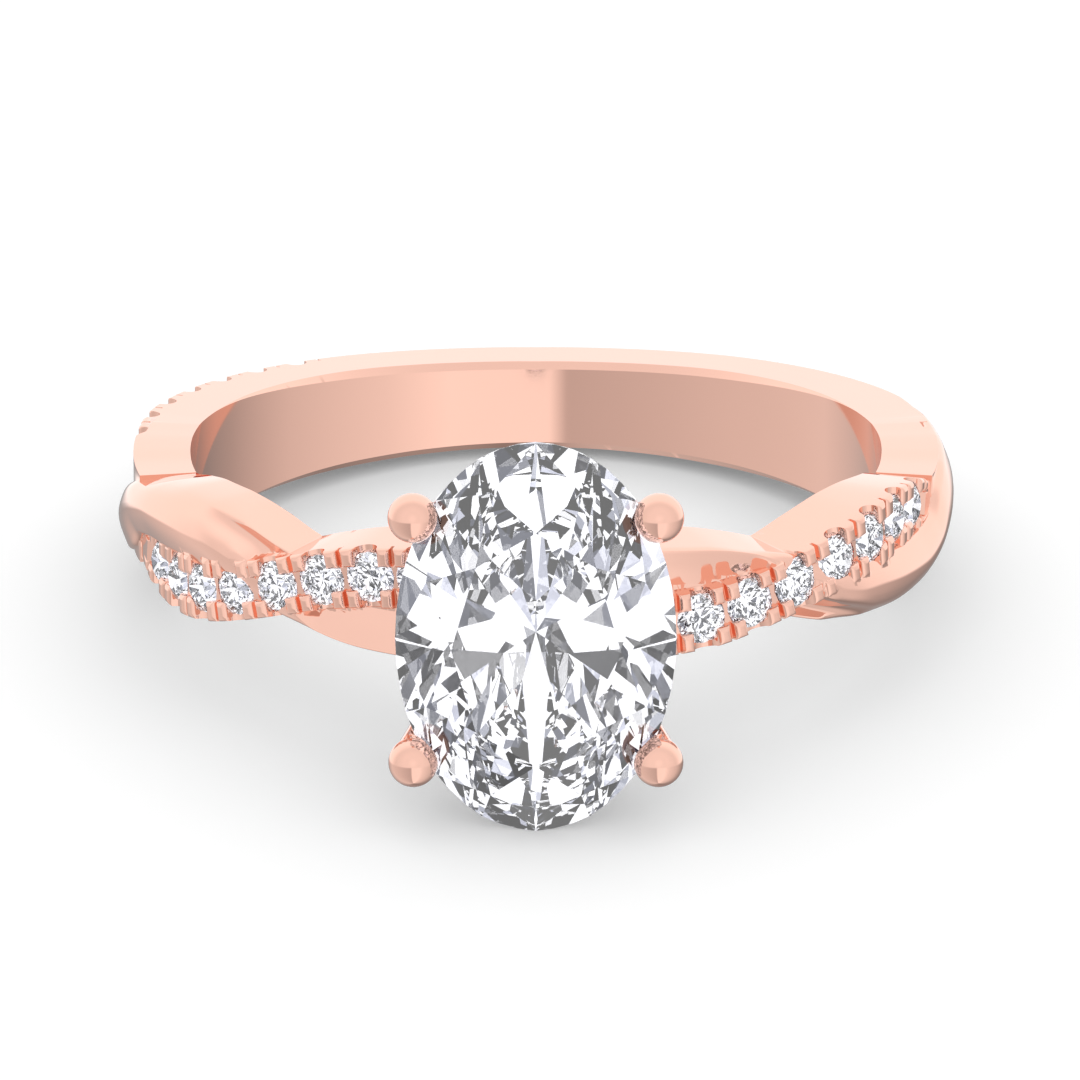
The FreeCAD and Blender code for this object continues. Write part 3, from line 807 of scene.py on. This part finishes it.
class RING_OT_metal(bpy.types.Operator):
    """Build the metal of the ring in one piece"""

    bl_idname = "ring.metal"
    bl_label = "Ring Metal"

    def execute(self, context):
        sizes, finish = context.scene.ring_sizes, context.scene.ring_finish
        saddle = swept("saddle", saddle_outline, -SADDLE_ANGLE, SADDLE_ANGLE)
        set_left, plain_left = set_strand(), plain_strand()
        strands = [set_left, plain_left, half_turned(set_left), half_turned(plain_left)]
        metal = combine(saddle, strands + band() + prongs(sizes), "UNION")
        hole = tube("hole", Vector((0, 0, -4)), Vector((0, 0, 4)), HOLE_RADIUS, 720)
        trim = swept("trim", trim_outline, TRIM_START[0], 360 - TRIM_START[0])
        metal = combine(metal, [hole, half_turned(trim), trim] + seat_cutters(), "DIFFERENCE")
        metal.name = metal.data.name = "ring_metal"
        metal.data.transform(RING_TO_WORLD)
        shaded(metal, sizes.sharp_angle)
        true_normals(metal.data)
        metal.data.materials.clear()
        metal.data.materials.append(rose_gold(finish))
        metal.visible_transmission = False
        if len(metal.data.polygons) < 1000:
            raise RuntimeError("the metal did not join")
        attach(metal, "root")
        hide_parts("ring_mount")
        return {"FINISHED"}


class RING_OT_oval_stone(bpy.types.Operator):
    """Give the oval stone its finish"""

    bl_idname = "ring.oval_stone"
    bl_label = "Oval Stone"

    def execute(self, context):
        finish = context.scene.ring_finish
        stone = frame["nodes"]["center_stone"]
        stone.data.materials.clear()
        stone.data.materials.append(clear_stone("oval_stone", finish.stone_tint, 0.0))
        return {"FINISHED"}


class RING_OT_row_stones(bpy.types.Operator):
    """Give the small round stones their finish"""

    bl_idname = "ring.row_stones"
    bl_label = "Row Stones"

    def execute(self, context):
        finish = context.scene.ring_finish
        material = clear_stone("row_stones", finish.stone_tint, 0.0)
        for name, node in frame["nodes"].items():
            if name.startswith("row_stone"):
                node.data.materials.clear()
                node.data.materials.append(material)
        return {"FINISHED"}


def mapped(tree, value, low, high, to_low, to_high, way="SMOOTHSTEP"):
    """Change of a value from one range to another."""
    node = tree.nodes.new("ShaderNodeMapRange")
    node.interpolation_type = way
    tree.links.new(value, node.inputs["Value"])
    for name, number in (("From Min", low), ("From Max", high), ("To Min", to_low), ("To Max", to_high)):
        node.inputs[name].default_value = number
    return node.outputs["Result"]


def card_tones(tree, direction):
    """Even patches of white, lavender, grey and near black round the stones, which their facets pick up."""
    cells = tree.nodes.new("ShaderNodeTexVoronoi")
    cells.inputs["Scale"].default_value = CARD_SCALE
    tree.links.new(direction, cells.inputs["Vector"])
    shade = tree.nodes.new("ShaderNodeSeparateColor")
    tree.links.new(cells.outputs["Color"], shade.inputs["Color"])
    tones = toned(tree, shade.outputs["Red"], CARD_TONES)
    tones.color_ramp.interpolation = "CONSTANT"
    return tones.outputs["Color"]


def picked(tree, switch, one, other):
    """One colour, or the other where the switch is on."""
    mix = tree.nodes.new("ShaderNodeMix")
    mix.data_type = "RGBA"
    tree.links.new(switch, mix.inputs["Factor"])
    for socket, colour in ((mix.inputs["A"], one), (mix.inputs["B"], other)):
        if isinstance(colour, tuple):
            socket.default_value = colour
        else:
            tree.links.new(colour, socket)
    return mix.outputs["Result"]


def toned(tree, value, tones):
    """Colours from a table of places on a scale from 0 to 1, each with its colour or grey, blended softly."""
    node = tree.nodes.new("ShaderNodeValToRGB")
    ramp = node.color_ramp.elements
    ramp.remove(ramp[1])
    for index, (place, tone) in enumerate(tones):
        element = ramp[0] if index == 0 else ramp.new(place)
        element.position = place
        element.color = (tone, tone, tone, 1) if isinstance(tone, float) else (*tone, 1)
    tree.links.new(value, node.inputs["Fac"])
    return node


def metal_tones(tree, direction, finish):
    """What the polished metal mirrors above the floor: a bright tent behind and a framed panel in front."""
    split = tree.nodes.new("ShaderNodeSeparateXYZ")
    tree.links.new(direction, split.inputs["Vector"])
    behind = mapped(tree, split.outputs["Y"], *BACKDROP_FADE, 0.0, 1.0)
    away = tree.nodes.new("ShaderNodeVectorMath")
    away.operation = "DISTANCE"
    away.inputs[1].default_value = PANEL_DIRECTION
    tree.links.new(direction, away.inputs[0])
    half = mapped(tree, away.outputs["Value"], 0.0, 2.0, 0.0, 1.0, "LINEAR")
    front = toned(tree, half, PANEL_TONES).outputs["Color"]
    high = picked(tree, behind, front, (finish.backdrop_light,) * 3 + (1,))
    around = tree.nodes.new("ShaderNodeTexGradient")
    around.gradient_type = "RADIAL"
    tree.links.new(direction, around.inputs["Vector"])
    low = toned(tree, around.outputs["Fac"], LOW_TONES).outputs["Color"]
    over_ring = tree.nodes.new("ShaderNodeVectorMath")
    over_ring.operation = "DOT_PRODUCT"
    over_ring.inputs[1].default_value = RING_AXIS
    tree.links.new(direction, over_ring.inputs[0])
    above = mapped(tree, over_ring.outputs["Value"], *LOW_FADE, 0.0, 1.0)
    return picked(tree, above, low, high)


def studio_world(finish):
    """Plain white tent, with tones that only the metal mirrors and patches that only the stones look at."""
    world = bpy.data.worlds.new("studio")
    world.use_nodes = True
    tree = world.node_tree
    place = tree.nodes.new("ShaderNodeTexCoord")
    direction = place.outputs["Generated"]
    path = tree.nodes.new("ShaderNodeLightPath")
    white = (finish.tent_light * TENT_GAIN,) * 3 + (1,)
    colour = picked(tree, path.outputs["Is Glossy Ray"], white, metal_tones(tree, direction, finish))
    colour = picked(tree, path.outputs["Is Transmission Ray"], colour, card_tones(tree, direction))
    tree.links.new(colour, tree.nodes["Background"].inputs["Color"])
    return world


class RING_OT_stage(bpy.types.Operator):
    """Make the floor, the light and the camera"""

    bl_idname = "ring.stage"
    bl_label = "Stage"

    def execute(self, context):
        scene = context.scene
        finish = scene.ring_finish
        bpy.ops.mesh.primitive_plane_add(size=4)
        floor = context.object
        floor.name = "floor"
        material, tree, shader = node_material("floor_paint")
        shader.inputs["Base Color"].default_value = (*finish.floor_colour, 1)
        shader.inputs["Emission Color"].default_value = (1, 1, 1, 1)
        shader.inputs["Emission Strength"].default_value = finish.floor_glow
        shader.inputs["Roughness"].default_value = 0.6
        shader.inputs["Specular IOR Level"].default_value = 0.0
        floor.data.materials.append(material)
        floor.visible_transmission = False
        floor.visible_glossy = False
        scene.world = studio_world(finish)
        scene.cycles.max_bounces = 32
        scene.cycles.transmission_bounces = 32
        scene.cycles.glossy_bounces = 12
        scene.cycles.caustics_reflective = False
        camera_data = bpy.data.cameras.new("camera")
        camera = bpy.data.objects.new("camera", camera_data)
        bpy.context.collection.objects.link(camera)
        elevation = math.radians(CAMERA_OVER_RING) + REST_ANGLE
        back = Vector((0, -math.cos(elevation), math.sin(elevation)))
        up = Vector((0, math.sin(elevation), math.cos(elevation)))
        pixel = MM / PIXELS_PER_MM
        right_shift = (PICTURE_SIZE / 2 - RING_PIXEL[0]) * pixel
        up_shift = (RING_PIXEL[1] - PICTURE_SIZE / 2) * pixel
        camera.location = RING_CENTRE + back * CAMERA_DISTANCE + Vector((right_shift, 0, 0)) + up * up_shift
        camera.rotation_mode = "QUATERNION"
        camera.rotation_quaternion = (-back).to_track_quat("-Z", "Y")
        camera_data.sensor_fit = "HORIZONTAL"
        camera_data.lens = camera_data.sensor_width * PIXELS_PER_MM * CAMERA_DISTANCE / MM / PICTURE_SIZE
        camera_data.clip_start, camera_data.clip_end = 0.01, 10
        scene.camera = camera
        scene.view_settings.view_transform = "Standard"
        return {"FINISHED"}


class RING_PT_panel(bpy.types.Panel):
    """Sidebar panel of the ring"""

    bl_idname = "RING_PT_panel"
    bl_label = "Twisted Shank Ring"
    bl_space_type = "VIEW_3D"
    bl_region_type = "UI"
    bl_category = "Ring"

    def draw(self, context):
        layout = self.layout
        for group in (context.scene.ring_sizes, context.scene.ring_finish):
            box = layout.box()
            for name in group.__annotations__:
                box.prop(group, name)
        for operator in OPERATORS:
            layout.operator(operator.bl_idname)


OPERATORS = (RING_OT_stage, RING_OT_metal, RING_OT_oval_stone, RING_OT_row_stones)
CLASSES = (RingSizes, RingFinish, *OPERATORS, RING_PT_panel)


def register():
    for item in CLASSES:
        bpy.utils.register_class(item)
    bpy.types.Scene.ring_sizes = PointerProperty(type=RingSizes)
    bpy.types.Scene.ring_finish = PointerProperty(type=RingFinish)


def unregister():
    del bpy.types.Scene.ring_finish
    del bpy.types.Scene.ring_sizes
    for item in reversed(CLASSES):
        bpy.utils.unregister_class(item)


def main():
    register()
    bpy.ops.ring.stage()
    bpy.ops.ring.metal()
    bpy.ops.ring.oval_stone()
    bpy.ops.ring.row_stones()


if __name__ == "__main__":
    main()
